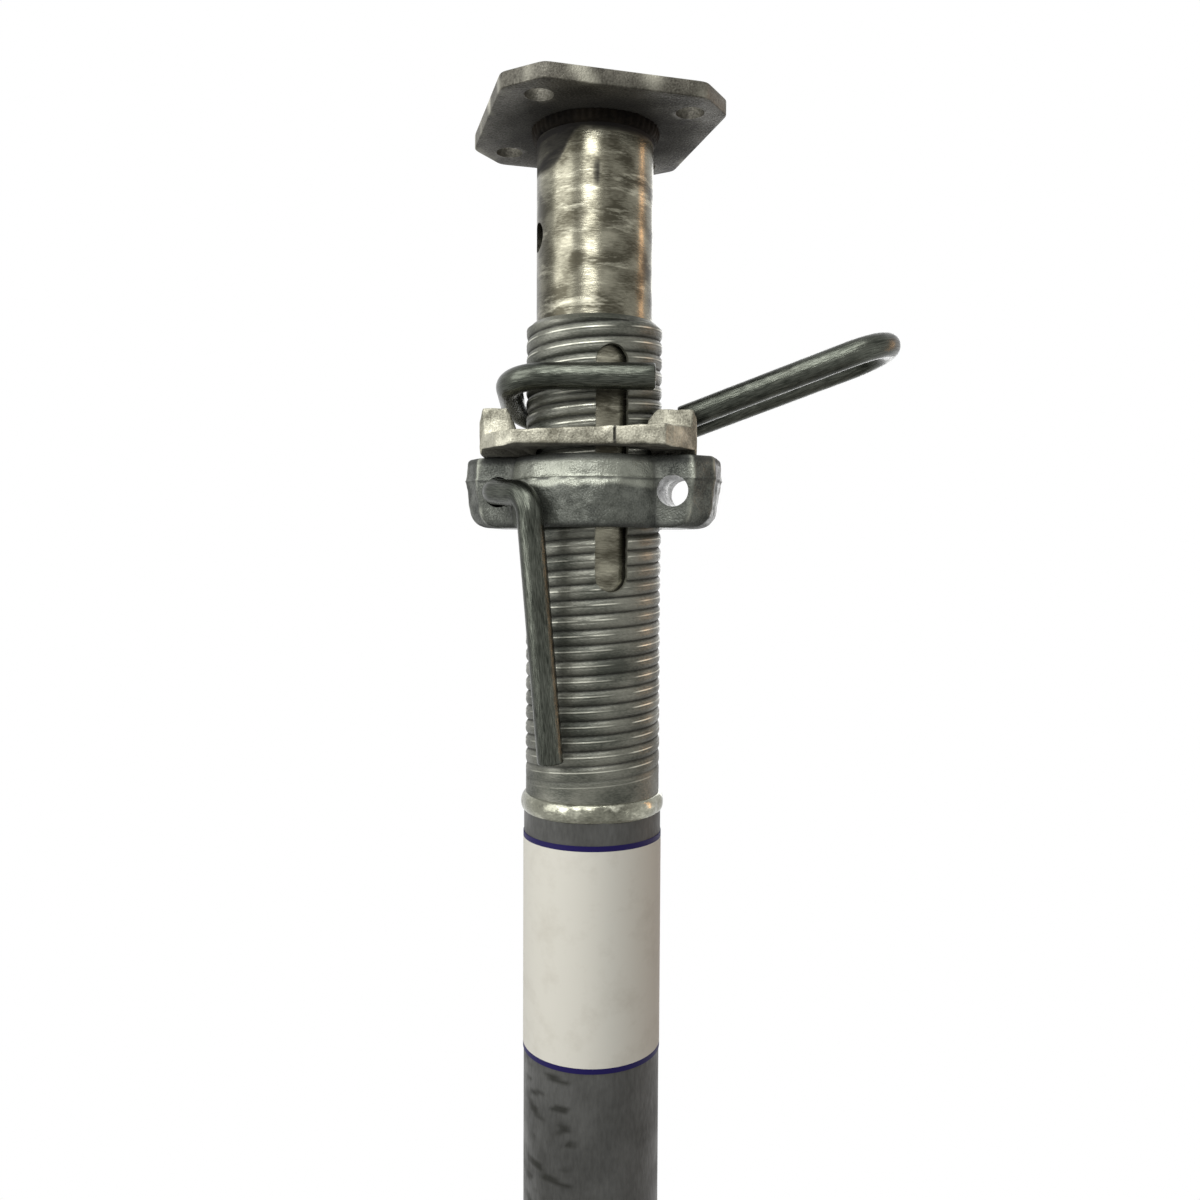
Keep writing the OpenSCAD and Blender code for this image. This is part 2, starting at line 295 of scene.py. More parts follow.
def full_turn(columns):
    """Evenly spaced bearings of a whole turn, without the last, which is the first again."""
    return np.linspace(0, 2 * np.pi, columns, endpoint=False)


def turn_z(points, angle):
    """Points turned about the prop's axis."""
    c, s = np.cos(angle), np.sin(angle)
    x, y, z = points[..., 0], points[..., 1], points[..., 2]
    return np.stack([c * x - s * y, s * x + c * y, z], axis=-1)


def drill(name, centre, direction, radius, length, lit_wall=False, columns=48):
    """A round cutter along a direction, which can leave the wall of its hole with a painted highlight, as if
    light fell into it.

    Each ring is the centre, plus a step along the direction, plus the radius round it.
    """
    direction = np.asarray(direction, float) / np.linalg.norm(direction)
    side = np.cross(direction, (0, 0, 1) if abs(direction[2]) < 0.9 else (1, 0, 0))
    side /= np.linalg.norm(side)
    other = np.cross(direction, side)
    turn = full_turn(columns)
    circle = np.cos(turn)[:, None] * side + np.sin(turn)[:, None] * other
    steps = np.array([-0.5, 0.5]) * length
    rings = [np.asarray(centre) + step * direction + radius * circle for step in steps]
    # Painted highlight on the hole's wall, standing in for light that falls into the hole.
    wall_light = np.full((2, columns), 0.9 if lit_wall else 0.0)
    return surface(name, np.stack(rings), wrap_columns=True, caps="rows", marks={"painted_highlight": wall_light})


def waves(points, scale, seed, count=14):
    """Smooth unevenness: a mean of sine waves in random directions, between about -1 and 1."""
    rng = np.random.default_rng(seed)
    direction = rng.normal(size=(count, 3))
    direction /= np.linalg.norm(direction, axis=1, keepdims=True)
    phase = rng.uniform(0, 2 * np.pi, count)
    rate = 2 * np.pi / scale * rng.uniform(0.6, 1.6, count)
    total = np.sin(points @ (direction * rate[:, None]).T + phase).sum(axis=-1)
    return total / np.sqrt(count)


def smooth_step(value, low, high):
    """0 below low, 1 above high, and an even bend between."""
    t = np.clip((value - low) / (high - low), 0, 1)
    return t * t * (3 - 2 * t)


def soft_max(a, b, width):
    """The larger of two values, with an even blend where they are within the width of each other."""
    return width * np.logaddexp(a / width, b / width)


def soft_min(a, b, width):
    """The smaller of two values, blended in the same way."""
    return -soft_max(-a, -b, width)


print("helpers ready")

# %% [markdown]
# ## Zinc finishes
# Hot-dip zinc is a patchwork of crystals under a dull skin, with runs, scuffs and rust stains. One
# recipe covers every piece: crystals from a cell texture, clouds and fine grain from noise, stains
# laid over them, and roughness that follows the same clouds. Each finish changes its colours, its
# scale and how far the patterns are drawn out along the piece.

# %% Recipe for a metal finish
def crest_highlight_lines(tree):
    """1 on two thin lines at either side of a ridge's crest, where highlights are painted, 0 away from them."""
    names = ("crest_sin", "crest_cos")
    marks = [add(tree, "ShaderNodeAttribute", attribute_name=name).outputs["Fac"] for name in names]
    turn = math_node(tree, "DIVIDE", math_node(tree, "ARCTAN2", *marks), 2 * math.pi)
    lines = 0.0
    for place, strength in ((0.13, 1.0), (-0.1, 0.75)):
        off = math_node(tree, "ABSOLUTE", math_node(tree, "SUBTRACT", turn, place))
        line = ramp(tree, off, 0.015, 0.06, strength, 0.0)
        lines = math_node(tree, "MAXIMUM", line, lines)
    return lines


def metal(name, dark, light, metallic=0.5, rough=(0.38, 0.6), crystals=90, stretch=(1, 1, 1), cloud=14,
          grain=520, stain=None, stain_from=0.56, bump=0.25, follow=None, mixes=(0.22, 0.5, 0.28),
          painted_highlight=None, dirt_and_shade=None, lumps=0.6, crest_highlights=False, shine=0.5):
    """Metal between a dark and a light colour, mixed by cells, clouds and grain, with optional stains.

    Two colours are laid on by the piece's own marks: one paints highlights, the other real dirt and painted
    shade. With crest highlights on, the highlight keeps to two thin lines along each ridge: the ridge's phase
    is the angle of its two marks.
    """
    material = bpy.data.materials.new(name)
    material.use_nodes = True
    tree = material.node_tree
    shader = tree.nodes["Principled BSDF"]
    if follow:
        place = add(tree, "ShaderNodeAttribute", attribute_name=follow).outputs["Vector"]
    else:
        place = add(tree, "ShaderNodeTexCoord").outputs["Object"]
    drawn = add(tree, "ShaderNodeMapping", {"Vector": place, "Scale": stretch}).outputs[0]
    cells = add(tree, "ShaderNodeTexVoronoi", {"Vector": place, "Scale": crystals}, feature="SMOOTH_F1")
    facet = add(tree, "ShaderNodeSeparateColor", {"Color": cells.outputs["Color"]}).outputs[0]
    clouds = add(tree, "ShaderNodeTexNoise", {"Vector": drawn, "Scale": cloud, "Detail": 6, "Roughness": 0.62})
    specks = add(tree, "ShaderNodeTexNoise", {"Vector": drawn, "Scale": grain, "Detail": 3})
    parts = [(facet, mixes[0]), (clouds.outputs[0], mixes[1]), (specks.outputs[0], mixes[2])]
    tone = 0.0
    for value, weight in parts:
        tone = math_node(tree, "ADD", math_node(tree, "MULTIPLY", value, weight), tone)
    tone = ramp(tree, tone, 0.36, 0.66)
    colour = blend(tree, tone, dark, light)
    if stain:
        blots = add(tree, "ShaderNodeTexNoise", {"Vector": drawn, "Scale": cloud * 1.7, "Detail": 8,
                                                 "Roughness": 0.7})
        share = ramp(tree, blots.outputs[0], stain_from, stain_from + 0.14, end=0.75)
        colour = blend(tree, share, colour, stain)
    haze = ramp(tree, tone, start=rough[1], end=rough[0])
    bare = metallic
    # The first mark paints highlights and lessens roughness. The second paints real dirt and painted shade,
    # rougher and less metallic.
    for mark, tint in (("painted_highlight", painted_highlight), ("dirt_and_shade", dirt_and_shade)):
        if tint:
            share = add(tree, "ShaderNodeAttribute", attribute_name=mark).outputs["Fac"]
            share = math_node(tree, "MULTIPLY", share, ramp(tree, clouds.outputs[0], 0.3, 0.6, start=0.5))
            if crest_highlights and mark == "painted_highlight":
                share = math_node(tree, "MULTIPLY", share, crest_highlight_lines(tree))
            colour = blend(tree, share, colour, tint)
            if mark == "painted_highlight":
                haze = math_node(tree, "SUBTRACT", haze, math_node(tree, "MULTIPLY", share, 0.14))
            else:
                haze = math_node(tree, "ADD", haze, math_node(tree, "MULTIPLY", share, 0.45))
                bare = math_node(tree, "MULTIPLY", math_node(tree, "SUBTRACT", 1.0, share), metallic)
    link(tree, shader, "Base Color", colour)
    link(tree, shader, "Metallic", bare)
    shader.inputs["Specular IOR Level"].default_value = shine
    link(tree, shader, "Roughness", haze)
    relief = math_node(tree, "ADD", specks.outputs[0], math_node(tree, "MULTIPLY", clouds.outputs[0], lumps))
    normal = add(tree, "ShaderNodeBump", {"Height": relief, "Strength": bump, "Distance": 0.0006})
    link(tree, shader, "Normal", normal.outputs[0])
    return material


def shade(*srgb):
    """A colour given as it looks on the screen, as the linear colour that the shader wants."""
    return tuple(((c + 0.055) / 1.055) ** 2.4 if c > 0.04 else c / 12.92 for c in srgb)


def wear(piece, material, slot_name, body, *nodes):
    """Gives a piece its finish and its body, and hides the nodes that it stands for. The slot name is not used.
    """
    piece.data.materials.clear()
    piece.data.materials.append(material)
    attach(piece, body)
    if nodes:
        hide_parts(*nodes)
    return piece


outer_zinc = metal("outer_tube_zinc", shade(0.19, 0.19, 0.18), shade(0.31, 0.31, 0.3), metallic=0.3,
                   crystals=60, stretch=(1, 1, 0.35), cloud=9, stain=shade(0.13, 0.13, 0.11),
                   dirt_and_shade=shade(0.1, 0.1, 0.08), shine=0.3)
# Its darkest colour paints the head plate's shadow on the tube, and the gouge.
inner_zinc = metal("inner_tube_zinc", shade(0.25, 0.24, 0.2), shade(0.53, 0.52, 0.46), metallic=0.92,
                   rough=(0.18, 0.32), crystals=110, stretch=(0.7, 0.7, 3.4), cloud=26, bump=0.12, lumps=0.3,
                   mixes=(0.3, 0.4, 0.3), stain=shade(0.7, 0.69, 0.62), stain_from=0.54,
                   dirt_and_shade=shade(0.07, 0.06, 0.05), shine=0.2)
# Plate finish: its light colour paints highlights on the rim and in the bolt holes, its darkest the shade round
# the tube.
plate_zinc = metal("plate_zinc", shade(0.16, 0.15, 0.12), shade(0.42, 0.41, 0.37), metallic=0.3, cloud=34,
                   stain=shade(0.1, 0.08, 0.06), stain_from=0.55, bump=0.6, grain=900, lumps=0.3, shine=0.25,
                   mixes=(0.14, 0.46, 0.4), painted_highlight=shade(0.8, 0.79, 0.72), dirt_and_shade=shade(0.05, 0.045, 0.035))
# Its light colour paints the highlights along the crests, its darkest the shade in the valleys.
sleeve_zinc = metal("sleeve_zinc", shade(0.19, 0.2, 0.17), shade(0.44, 0.44, 0.4), metallic=0.5, cloud=22,
                    rough=(0.3, 0.5), stretch=(1, 1, 3), crystals=70, painted_highlight=shade(0.8, 0.8, 0.74),
                    dirt_and_shade=shade(0.07, 0.07, 0.05), lumps=0.2, bump=0.35, crest_highlights=True)
bead_zinc = metal("weld_bead", shade(0.3, 0.3, 0.26), shade(0.6, 0.6, 0.54), metallic=0.75, cloud=45,
                  crystals=30, bump=0.2, rough=(0.14, 0.28), stretch=(1, 1, 2),
                  stain=shade(0.8, 0.8, 0.73), stain_from=0.52)
# Near-black matt finish: painted shade, for the shadow under the head plate. The foot weld shares it.
shaded_bead = metal("weld_painted_shade", shade(0.04, 0.035, 0.03), shade(0.14, 0.12, 0.09), metallic=0, cloud=60,
                  rough=(0.6, 0.9), shine=0.08)
# Its light colour paints highlights on the upper band and ear corners, its darkest the shade at edges, parting
# line and ear roots.
nut_zinc = metal("nut_casting", shade(0.14, 0.15, 0.13), shade(0.39, 0.4, 0.37), cloud=34, crystals=160,
                 dirt_and_shade=shade(0.07, 0.08, 0.06), mixes=(0.2, 0.42, 0.38),
                 rough=(0.22, 0.48), bump=0.55, grain=1000, stain=shade(0.13, 0.14, 0.11), stain_from=0.56,
                 painted_highlight=shade(0.58, 0.59, 0.54), lumps=0.12)
# Its darkest colour is the painted shade in the notch and underneath.
ring_zinc = metal("ring_casting", shade(0.34, 0.33, 0.28), shade(0.75, 0.74, 0.67), cloud=30, crystals=180,
                  bump=0.6, grain=1000, stain=shade(0.3, 0.27, 0.2), stain_from=0.57,
                  dirt_and_shade=shade(0.06, 0.05, 0.04), lumps=0.15)
# Streaks drawn out along the bar: draw marks, and painted reflection streaks as well.
bar_zinc = metal("bar_zinc", shade(0.15, 0.16, 0.14), shade(0.34, 0.35, 0.32), metallic=0.95,
                 rough=(0.2, 0.34), cloud=150, stretch=(1, 1, 0.12), grain=1600, follow="lay",
                 mixes=(0.1, 0.3, 0.6), stain=shade(0.12, 0.11, 0.09), stain_from=0.6, bump=0.3, lumps=0.2)
stop_steel = metal("ring_steel", shade(0.3, 0.29, 0.27), shade(0.45, 0.44, 0.42))
print("finishes:", ", ".join(m.name for m in bpy.data.materials))

# %% [markdown]
# ## End plates
# Each end of the prop is a square steel plate with cut corners, a middle hole and four bolt holes. The
# outline in plan is a radius for every bearing: the nearest of the side walls and the corner cuts. The
# section runs from the middle hole over the top to the rounded rim and back underneath.

# %% Head and foot plates
def cut_square(bearings, half, corner):
    """Radius of a square with cut corners at each bearing: the smaller of the side's and the cut's."""
    across, along = np.abs(np.cos(bearings)), np.abs(np.sin(bearings))
    sides = half / np.maximum(across, along)
    cuts = (2 * half - corner) / (across + along)
    return soft_min(sides, cuts, 0.9 * MM)


corner_cut = 18 * MM
middle_radius = 20 * MM
bolt_place = 40 * MM
bolt_radius = 7.5 * MM


def end_plate(name, low, high, soften=0.7 * MM):
    """Plate between two levels. Rows go round its section; the outline shrinks where the rim is rounded."""
    bearings = full_turn(288)
    outline = cut_square(bearings, plate_half, corner_cut)
    middle = np.full_like(outline, middle_radius)
    turn = np.linspace(0, np.pi / 2, 4)
    rows = []
    for end in (high, low):
        sign = 1 if end == high else -1
        pull = soften * (1 - np.cos(turn))
        lift = end - sign * soften * (1 - np.sin(turn))
        rim = [(outline - p, h) for p, h in zip(pull, lift)]
        bore = [(middle + p, h) for p, h in zip(pull, lift)]
        face = [(middle + (outline - middle) * t, end) for t in np.linspace(0.9, 0.1, 9)]
        section = rim + face + bore[::-1]
        rows += section if sign > 0 else section[::-1]
    points = np.stack([polar(r, bearings, h) for r, h in rows])
    radius = np.hypot(points[..., 0], points[..., 1])
    # Painted shade on the welded face round the tube: under the head plate, and on top of the foot plate.
    welded = np.abs(points[..., 2] - (low if low > 1 else high)) < soften
    dirt_and_shade = 0.9 * welded * (1 - smooth_step(radius, 40 * MM, 68 * MM))
    # Painted highlight in patches along the rounded rim.
    painted_highlight = 0.7 * smooth_step(radius, outline - 2 * soften, outline) * smooth_step(waves(points, 0.03, 7), 0, 1)
    plate = surface(name, points, wrap_rows=True, wrap_columns=True, marks={"dirt_and_shade": dirt_and_shade, "painted_highlight": painted_highlight})
    centre = (low + high) / 2
    places = [(x * bolt_place, y * bolt_place, centre) for x in (-1, 1) for y in (-1, 1)]
    bolts = [drill("bolt", place, (0, 0, 1), bolt_radius, 30 * MM, lit_wall=True) for place in places]
    return smooth(cut(plate, *bolts))


wear(end_plate("head_plate_skin", plate_low, plate_top), plate_zinc, "plate_zinc", "post", "head_plate")
wear(end_plate("foot_plate_skin", foot_low, foot_top), plate_zinc, "plate_zinc", "base_tube", "foot_plate")
print("plates", round(2 * plate_half / MM), "mm square")

# %% [markdown]
# ## Tubes
# A tube is a closed outline, out along the wall and back down the bore, carried round the axis. The
# sliding tube has a row of pin holes drilled across it, and a rolled groove near its foot for the
# stop ring.

# %% Lower tube and sliding tube
tube_low, tube_top = span("outer_tube")
slide_low, slide_top = span("inner_tube")
ring_low_z, ring_high_z = span("stop_ring")
outer_bore = outer_radius - 2.6 * MM
inner_bore = inner_radius - 2.9 * MM
play = 0.3 * MM
groove = 1.2 * MM
hole_drop = 58.5 * MM
hole_pitch = 106 * MM
hole_count = 16
hole_radius = 7.75 * MM

label_low, label_high = span("tube_label")
outer_levels = np.concatenate([
    [tube_low], np.linspace(tube_low, label_low - 0.21, 24), np.arange(label_low - 0.208, label_low, 2 * MM),
    [tube_top]
])
outer_outline = [(outer_bore, tube_low)] + [(outer_radius, z) for z in outer_levels] + [(outer_bore, tube_top)]
outer_points = around(outer_outline, full_turn(144))
aside = turn_z(outer_points, -view_turn)[..., 0]
blots = smooth_step(waves(outer_points * (0.45, 0.45, 1.5), 0.011, 41), 0.35, 1.1)
blots *= smooth_step(-np.abs(aside + 21 * MM), -17 * MM, -9 * MM) * (outer_points[..., 1] < 0)
outer_tube = surface("outer_tube_skin", outer_points, wrap_rows=True, wrap_columns=True, marks={"dirt_and_shade": blots})
smooth(outer_tube)
wear(outer_tube, outer_zinc, "outer_tube_zinc", "base_tube", "outer_tube")

groove_low, groove_high = ring_low_z - play, ring_high_z + play
inner_outline = [
    (inner_bore, slide_low), (inner_radius, slide_low), (inner_radius, groove_low),
    (inner_radius - groove, groove_low), (inner_radius - groove, groove_high), (inner_radius, groove_high),
    *[(inner_radius, slide_top - drop * MM) for drop in np.arange(42, 4, -1.5)],
    (inner_radius, slide_top), (inner_bore, slide_top), (inner_bore, groove_high + groove),
    (inner_bore - groove, groove_high), (inner_bore - groove, groove_low), (inner_bore, groove_low - groove),
]
inner_points = around(inner_outline, full_turn(144))
aside = turn_z(inner_points, -view_turn)[..., 0]
# Painted shadow of the head plate over the top of the sliding tube, reaching further down on the left. The
# gouge below it is a real dark mark.
shadow_drop = (10 + 17 * smooth_step(-aside, 4 * MM, 24 * MM)) * MM + 2 * MM * waves(inner_points, 0.03, 31)
plate_shadow_paint = smooth_step(inner_points[..., 2], slide_top - shadow_drop - 1 * MM, slide_top - shadow_drop + 2 * MM)
gouge_x, gouge_z = (aside - 1.2 * MM) / (1.3 * MM), (inner_points[..., 2] - slide_top + 31 * MM) / (6 * MM)
gouge = np.exp(-gouge_x ** 2 - gouge_z ** 4)
gouge *= inner_points[..., 1] < 0
inner_tube = surface("inner_tube_skin", inner_points, wrap_rows=True, wrap_columns=True,
                     marks={"dirt_and_shade": plate_shadow_paint + gouge})
hole_levels = slide_top - hole_drop - hole_pitch * np.arange(hole_count)
holes = [drill("pin_hole", (0, 0, z), (1, 0, 0), hole_radius, 80 * MM) for z in hole_levels]
smooth(cut(inner_tube, *holes))
wear(inner_tube, inner_zinc, "inner_tube_zinc", "post", "inner_tube")
print("pin holes from", round(hole_levels[-1], 3), "to", round(hole_levels[0], 3), "m")

# %% [markdown]
# ## Threaded sleeve
# The thread on a prop is rolled into the tube, so its crests are broad and its valleys narrow and
# round. The outer surface is a radius for every bearing and height: it depends only on the height less
# two ridges for each turn, which is what makes a screw with two starts. Two long slots for the pin are
# cut out.

# %% Sleeve with a true helical thread
sleeve_bore = 32.6 * MM
bore_wave = 1.5 * MM


def rolled_thread(phase):
    """Height of a ridge from valley (0) to crest (1): a round back, sharp valleys, and a crease on top.

    The back is one less the cube of the distance from the crest; the crease is a narrow bell taken off.
    """
    back = (1 - np.abs(2 * phase - 1) ** 3) ** 0.8
    return back - 0.13 * np.exp(-((phase - 0.5) / 0.04) ** 2)


def sleeve_points(columns=96):
    """Rows up the threaded outside, over the turned-in rim and down the bore, which the rolls left wavy."""
    bearings = full_turn(columns)
    heights = np.concatenate([
        [sleeve_low, sleeve_low + 6 * MM], np.arange(sleeve_low + 9 * MM, sleeve_top - 3 * MM, 0.42 * MM)
    ])
    z, angle = np.meshgrid(heights, bearings, indexing="ij")
    phase = (z - sleeve_top) / ridge_spacing - thread_starts * angle / (2 * np.pi)
    thread = rolled_thread(phase % 1.0)
    fade = smooth_step(z, sleeve_low + 10 * MM, sleeve_low + 34 * MM)
    runs = waves(polar(0.08, angle, z), 0.03, 3)
    plain = crest_radius - 0.25 * MM
    threaded = crest_radius - thread_depth * (1 - thread) - 0.06 * MM * (1 + runs)
    radius = plain + (threaded - plain) * fade
    rim = np.array([(-2.2, -1.5), (-3.2, -0.5), (-4.0, 0.0), (-4.7, -0.3), (-5.1, -1.2), (-5.1, -4.0),
                    (-4.3, -7.0)]) * MM + (crest_radius, sleeve_top)
    inside_z = np.concatenate([np.arange(sleeve_top - 9 * MM, sleeve_low + 6 * MM, -1.0 * MM), [sleeve_low]])
    z_in, angle_in = np.meshgrid(inside_z, bearings, indexing="ij")
    phase_in = (z_in - sleeve_top) / ridge_spacing - thread_starts * angle_in / (2 * np.pi)
    fade_in = smooth_step(z_in, sleeve_low + 16 * MM, sleeve_low + 34 * MM)
    bore = sleeve_bore + bore_wave * rolled_thread(phase_in % 1.0) * fade_in
    inside = polar(bore, angle_in, z_in)
    outside = polar(radius, angle, z)
    points = np.concatenate([outside, around(rim, bearings), inside])
    painted_highlight, dirt_and_shade = np.zeros(points.shape[:2]), np.zeros(points.shape[:2])
    rows = len(heights)
    place = points[:rows] * (1, 1, 0.2)
    # Painted highlight: patches of two thin lines along each crest.
    painted_highlight[:rows] = smooth_step(waves(place, 0.02, 8), -1.2, 0.5) * np.sqrt(fade)
    # Painted shade in the thread's valleys.
    dirt_and_shade[:rows] = (1 - smooth_step(thread, 0.1, 0.75)) * np.sqrt(fade) * 0.9
    crest_sin, crest_cos = np.zeros_like(painted_highlight), np.ones_like(painted_highlight)
    crest_sin[:rows] = np.sin(2 * np.pi * (phase - 0.5))
    crest_cos[:rows] = np.cos(2 * np.pi * (phase - 0.5))
    return points, {"painted_highlight": painted_highlight, "dirt_and_shade": dirt_and_shade, "crest_sin": crest_sin, "crest_cos": crest_cos}


sleeve_grid, sleeve_marks = sleeve_points()
sleeve = surface("threaded_sleeve_skin", sleeve_grid, wrap_rows=True, wrap_columns=True, marks=sleeve_marks)
slot_half = 8.75 * MM
slot_drop = 16 * MM
slot_length = 129 * MM
slot_high = sleeve_top - slot_drop - slot_half
slot_low = sleeve_top - slot_drop - slot_length + slot_half


def slot_cutter():
    """A flat-sided bar with round ends: half circles above and below, carried along Y."""
    turn = np.linspace(0, np.pi, 25)
    x = np.concatenate([slot_half * np.cos(turn), -slot_half * np.cos(turn)])
    z = np.concatenate([slot_high + slot_half * np.sin(turn), slot_low - slot_half * np.sin(turn)])
    ends = [np.stack([x, np.full_like(x, y), z], axis=-1) for y in (-50 * MM, 50 * MM)]
    return surface("slot_cutter", np.stack(ends), wrap_columns=True, caps="rows")


smooth(cut(sleeve, slot_cutter()), 50)
wear(sleeve, sleeve_zinc, "sleeve_zinc", "base_tube", "threaded_sleeve")
print("sleeve has", len(sleeve.data.polygons), "faces")

# %% [markdown]
# ## Welds and label
# A weld bead is a ring whose section swells and shrinks a little along its way, where each drop of
# metal froze. The label is a thin film round the front of the lower tube, with a plain border line
# at its top and bottom and nothing printed between them.

# %% Weld beads
def bead(name, outline, ripple=0.25 * MM, drops=52, seed=5):
    """An outline round the axis whose radii and heights sway with the frozen drops of the weld."""
    bearings = full_turn(288)
    points = around(outline, bearings)
    outline = np.asarray(outline, float)
    inner = outline[:, 0].min()
    share = np.clip((outline[:, :1] - inner) / (outline[:, 0].max() - inner), 0, 1)
    drop = np.abs(np.sin(bearings * drops / 2 + 0.9 * np.sin(bearings * 3))) - 0.75
    radius = outline[:, :1] + ripple * share * (drop + 0.5 * waves(points, 0.02, seed) - 0.6)
    points[..., 0] = radius * np.cos(bearings)
    points[..., 1] = radius * np.sin(bearings)
    points[..., 2] += 0.3 * MM * waves(points, 0.03, seed + 1) * share
    return smooth(surface(name, points, wrap_rows=True, wrap_columns=True), 60)


def fillet_outline(tube, level, rise, out=6 * MM):
    """Section of a fillet weld: down the tube, out along the plate and back over a round face."""
    turn = np.linspace(0, np.pi / 2, 7)
    tall = 6 * MM
    face = [(tube + out * np.cos(t), level + rise * tall * (0.1 + 0.9 * np.sin(t))) for t in turn]
    return [(tube - 0.2 * MM, level + rise * tall * 0.9), (tube - 0.2 * MM, level), (tube + out, level)] + face


head_bead = bead("head_weld_skin", fillet_outline(inner_radius, plate_low, -1, 3.4 * MM), ripple=0.7 * MM)
foot_bead = bead("foot_weld_skin", fillet_outline(outer_radius, foot_top, 1), seed=9)
# The welds wear the near-black finish of painted shade.
wear(head_bead, shaded_bead, "weld_bead", "post", "head_weld")
wear(foot_bead, shaded_bead, "weld_bead", "base_tube", "foot_weld")

joint_low, joint_high = span("joint_weld")
joint_middle = (joint_low + joint_high) / 2
joint_half = (joint_high - joint_low) / 2
joint_out = half_width("joint_weld")
sweep = np.linspace(-np.pi / 2, np.pi / 2, 13)
joint_root = crest_radius - 0.3 * MM
joint_back = crest_radius - 0.5 * MM
swell = [
    (joint_root + (joint_out - joint_root) * np.cos(a), joint_middle + joint_half * np.sin(a)) for a in sweep
]
joint_outline = swell + [(joint_back, joint_high - 1 * MM), (joint_back, joint_low + 1 * MM)]
joint_bead = bead("joint_weld_skin", joint_outline, ripple=0.5 * MM, drops=16, seed=2)
wear(joint_bead, bead_zinc, "weld_bead", "base_tube", "joint_weld")
print("joint weld", round((joint_high - joint_low) / MM, 1), "mm tall")

# %% Label film
label_wrap = math.radians(190)
label_border = 2.9 * MM


def label_film():
    """A film at a constant radius over an arc of bearings, with its height kept in the lay attribute."""
    start = -math.pi / 2 + hook_turn - label_wrap / 2
    bearings = start + np.linspace(0, label_wrap, 97)
    low, high = outer_radius + 0.02 * MM, outer_radius + 0.38 * MM
    outline = np.array([(low, label_low), (high, label_low), (high, label_high), (low, label_high)])
    points = around(outline, bearings)
    along = np.broadcast_to(bearings * outer_radius, points.shape[:2])
    lay = np.stack([along, points[..., 2] - label_low, np.zeros_like(along)], axis=-1)
    return surface("tube_label_skin", points, wrap_rows=True, caps="columns", lay=lay)


def label_material():
    """Matt film: off-white with faint smudges, and a dark blue line near each end of its height."""
    material = bpy.data.materials.new("label_film")
    material.use_nodes = True
    tree = material.node_tree
    place = add(tree, "ShaderNodeAttribute", attribute_name="lay").outputs["Vector"]
    height = add(tree, "ShaderNodeSeparateXYZ", {0: place}).outputs[1]
    tall = label_high - label_low
    from_middle = math_node(tree, "ABSOLUTE", math_node(tree, "SUBTRACT", height, tall / 2))
    inside = math_node(tree, "GREATER_THAN", from_middle, tall / 2 - label_border)
    smudge = add(tree, "ShaderNodeTexNoise", {"Vector": place, "Scale": 45, "Detail": 7, "Roughness": 0.65})
    amount = ramp(tree, smudge.outputs[0], 0.5, 0.8, end=0.6)
    film = blend(tree, amount, shade(0.75, 0.74, 0.7), shade(0.65, 0.63, 0.58))
    shader = tree.nodes["Principled BSDF"]
    link(tree, shader, "Base Color", blend(tree, inside, film, shade(0.07, 0.04, 0.25)))
    link(tree, shader, "Roughness", 0.5)
    link(tree, shader, "Specular IOR Level", 0.15)
    return material


wear(smooth(label_film()), label_material(), "label_film", "base_tube", "tube_label")
print("label", round((label_high - label_low) / MM), "mm tall")

# %% [markdown]
# ## Collar nut
# The nut is a casting: a round body between two ears, each with a cross hole. Seen from above its
# outline is the larger of a circle and a long bar with cut corners, blended where they meet. Going up,
# the ears lean out to the parting line, where the two halves of the mould met and left a thin ridge.

# %% Cast nut with two ears
# Millimetres in the nut's own frame
nut_parting, nut_depth, nut_bore = 26.0, 38.0, 37.7
ear_hole_place, ear_hole_level, ear_hole_radius = 48, 19.3, 8.25
# The skin stands this far off its axis; much more would take it out of the solids' box
nut_shift = 0.5


def nut_radius(bearings, z):
    """Radius of the nut's outside in millimetres: the blend of its drafted body and its ears."""
    parting, depth = nut_parting, nut_depth
    above = np.clip((z - parting) / (depth - parting), 0, 1)
    below = np.clip((parting - z) / parting, 0, 1)
    body = 45.5 - above - below
    corner = 9 - np.sqrt(np.maximum(81 - np.clip(9 - z, 0, 9) ** 2, 0))
    half = 70.5 - above - 4 * below - corner
    across = np.maximum(np.abs(np.cos(bearings)), 1e-4)
    along = np.maximum(np.abs(np.sin(bearings)), 1e-4)
    flank = 23 - 0.4 * below - 0.4 * above
    bar = soft_min(soft_min(half / across, flank / along, 0.3), (half + flank - 10) / (across + along), 0.3)
    return soft_max(body, bar, 1.2)


def nut_bearings():
    """Bearings of one round, closer together near the corners of the ears."""
    quarter = np.radians(np.unique(np.round(np.concatenate([
        np.linspace(0, 90, 73), 10.4 + np.linspace(-2.4, 2.4, 13), 20.8 + np.linspace(-2.4, 2.4, 13),
        30.5 + np.linspace(-3, 3, 13)
    ]), 4)))
    half = np.concatenate([quarter, np.pi - quarter[-2::-1]])
    return np.concatenate([half, half[1:-1] + np.pi])


